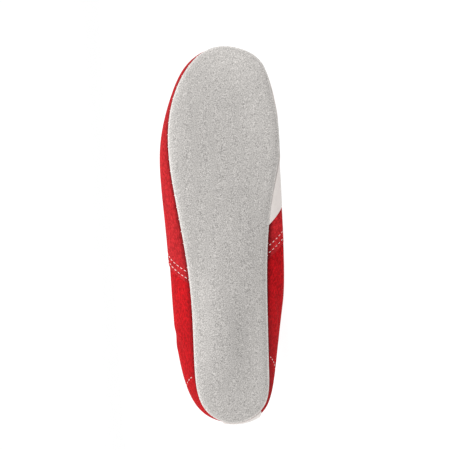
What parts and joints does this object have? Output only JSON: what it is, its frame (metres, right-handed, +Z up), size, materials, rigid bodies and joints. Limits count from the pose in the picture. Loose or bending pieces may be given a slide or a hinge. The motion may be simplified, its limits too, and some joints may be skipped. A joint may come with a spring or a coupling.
{
  "type": "wrestling shoe",
  "caption": "Ankle-high soft wrestling shoe for the right foot, with a red suede upper, a thin grey suede sole, a laced throat and white leather overlays, lying on its side.",
  "frame": {"origin": "centre of the box on the floor, with the shoe lying on its medial side", "axes": "+X from the heel to the toe, +Y from the sole towards the collar, +Z up from the floor, towards the lateral side"},
  "size_m": [0.2808, 0.1262, 0.0883],
  "materials": {
    "grey_suede": "napped suede",
    "insole_cloth": "plain woven lining",
    "red_suede": "napped suede",
    "tongue_suede": "napped suede",
    "white_leather": "smooth matt leather",
    "lace_cloth": "flat woven braid",
    "eyelet_metal": "satin"
  },
  "bodies": {
    "root": {"outsole": "grey_suede", "insole": "insole_cloth", "upper": "red_suede", "tongue": "tongue_suede", "medial_panel": "white_leather", "heel_strip": "white_leather", "lace": "lace_cloth", "eyelet_lateral_1": "eyelet_metal", "eyelet_lateral_2": "eyelet_metal", "eyelet_lateral_3": "eyelet_metal", "eyelet_lateral_4": "eyelet_metal", "eyelet_lateral_5": "eyelet_metal", "eyelet_lateral_6": "eyelet_metal", "eyelet_lateral_7": "eyelet_metal", "eyelet_medial_1": "eyelet_metal", "eyelet_medial_2": "eyelet_metal", "eyelet_medial_3": "eyelet_metal", "eyelet_medial_4": "eyelet_metal", "eyelet_medial_5": "eyelet_metal", "eyelet_medial_6": "eyelet_metal", "eyelet_medial_7": "eyelet_metal"}
  },
  "joints": []
}
